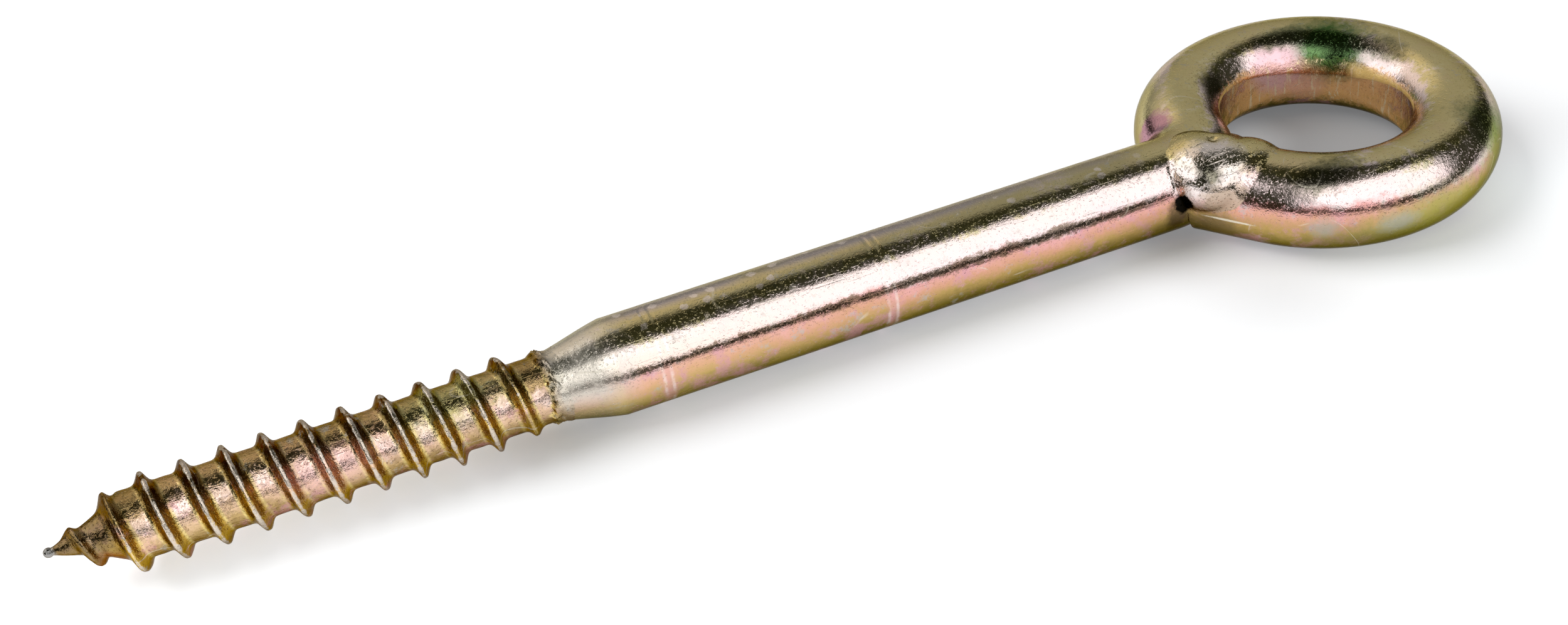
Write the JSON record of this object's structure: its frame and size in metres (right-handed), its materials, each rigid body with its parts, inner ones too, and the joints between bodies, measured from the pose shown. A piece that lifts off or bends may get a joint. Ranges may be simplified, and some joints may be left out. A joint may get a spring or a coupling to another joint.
{
  "type": "scaffold eye screw",
  "caption": "Long steel screw eye with a coarse wood-screw thread and point at one end and a weld-closed round eye at the other.",
  "frame": {"origin": "centre of the eye, at the middle of the rod's thickness", "axes": "+X along the shank from the point to the eye, +Z along the eye's axis, upwards as the screw lies flat"},
  "size_m": [0.1884, 0.0466, 0.0132],
  "materials": {
    "yellow_zinc_steel": "yellow-passivated zinc, bright with a pink and green tint"
  },
  "bodies": {
    "root": {"eye_screw": "yellow_zinc_steel"}
  },
  "joints": []
}
